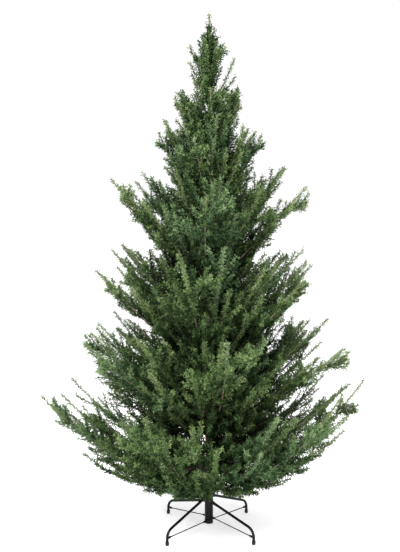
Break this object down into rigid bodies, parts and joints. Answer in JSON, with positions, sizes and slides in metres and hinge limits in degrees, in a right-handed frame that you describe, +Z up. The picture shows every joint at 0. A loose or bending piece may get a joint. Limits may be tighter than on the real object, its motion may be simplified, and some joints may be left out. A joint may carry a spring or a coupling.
{
  "type": "artificial spruce christmas tree on a folding stand",
  "caption": "Full artificial spruce with hinged wire boughs in tiers round a straight pole, standing on a folding metal stand with braced legs.",
  "frame": {"origin": "on the floor, under the middle of the pole", "axes": "+Z up along the pole, +X to the right and -Y to the front, as the picture shows the tree"},
  "size_m": [1.4621, 1.4126, 2.286],
  "materials": {
    "needles": "matt green moulded and cut needles, lighter and yellower at the tips",
    "wrapped_wire": "grey-brown tape wound round steel wire",
    "pole_paint": "dull brown paint on steel tube",
    "stand_paint": "black powder coat with a low gloss",
    "foot_rubber": "matt black moulded caps"
  },
  "bodies": {
    "root": {"bough_lower_1": "wrapped_wire", "bough_lower_2": "wrapped_wire", "bough_lower_3": "wrapped_wire", "bough_lower_4": "wrapped_wire", "bough_lower_5": "wrapped_wire", "bough_lower_6": "wrapped_wire", "bough_lowest_1": "wrapped_wire", "bough_lowest_2": "wrapped_wire", "bough_lowest_3": "wrapped_wire", "bough_lowest_4": "wrapped_wire", "bough_lowest_5": "wrapped_wire", "bough_lowest_6": "wrapped_wire", "foliage_leader": "needles", "foliage_lower_1": "needles", "foliage_lower_2": "needles", "foliage_lower_3": "needles", "foliage_lower_4": "needles", "foliage_lower_5": "needles", "foliage_lower_6": "needles", "foliage_lowest_1": "needles", "foliage_lowest_2": "needles", "foliage_lowest_3": "needles", "foliage_lowest_4": "needles", "foliage_lowest_5": "needles", "foliage_lowest_6": "needles", "foliage_middle_1": "needles", "foliage_middle_2": "needles", "foliage_middle_3": "needles", "foliage_middle_4": "needles", "foliage_middle_5": "needles", "foliage_neck_1": "needles", "foliage_neck_2": "needles", "foliage_neck_3": "needles", "foliage_upper_1": "needles", "foliage_upper_2": "needles", "foliage_upper_3": "needles", "foliage_upper_4": "needles", "foliage_waist_1": "needles", "foliage_waist_2": "needles", "foliage_waist_3": "needles", "foliage_waist_4": "needles", "foliage_waist_5": "needles", "foliage_waist_6": "needles", "pole": "pole_paint", "stand_bottom_cup": "stand_paint", "stand_foot_back_left": "foot_rubber", "stand_foot_back_right": "foot_rubber", "stand_foot_front_left": "foot_rubber", "stand_foot_front_right": "foot_rubber", "stand_leg_back_left": "stand_paint", "stand_leg_back_right": "stand_paint", "stand_leg_front_left": "stand_paint", "stand_leg_front_right": "stand_paint", "stand_sleeve": "stand_paint", "stand_socket": "stand_paint", "stand_stay_back_left": "stand_paint", "stand_stay_back_right": "stand_paint", "stand_stay_front_left": "stand_paint", "stand_stay_front_right": "stand_paint", "stand_top_collar": "stand_paint"}
  },
  "joints": []
}
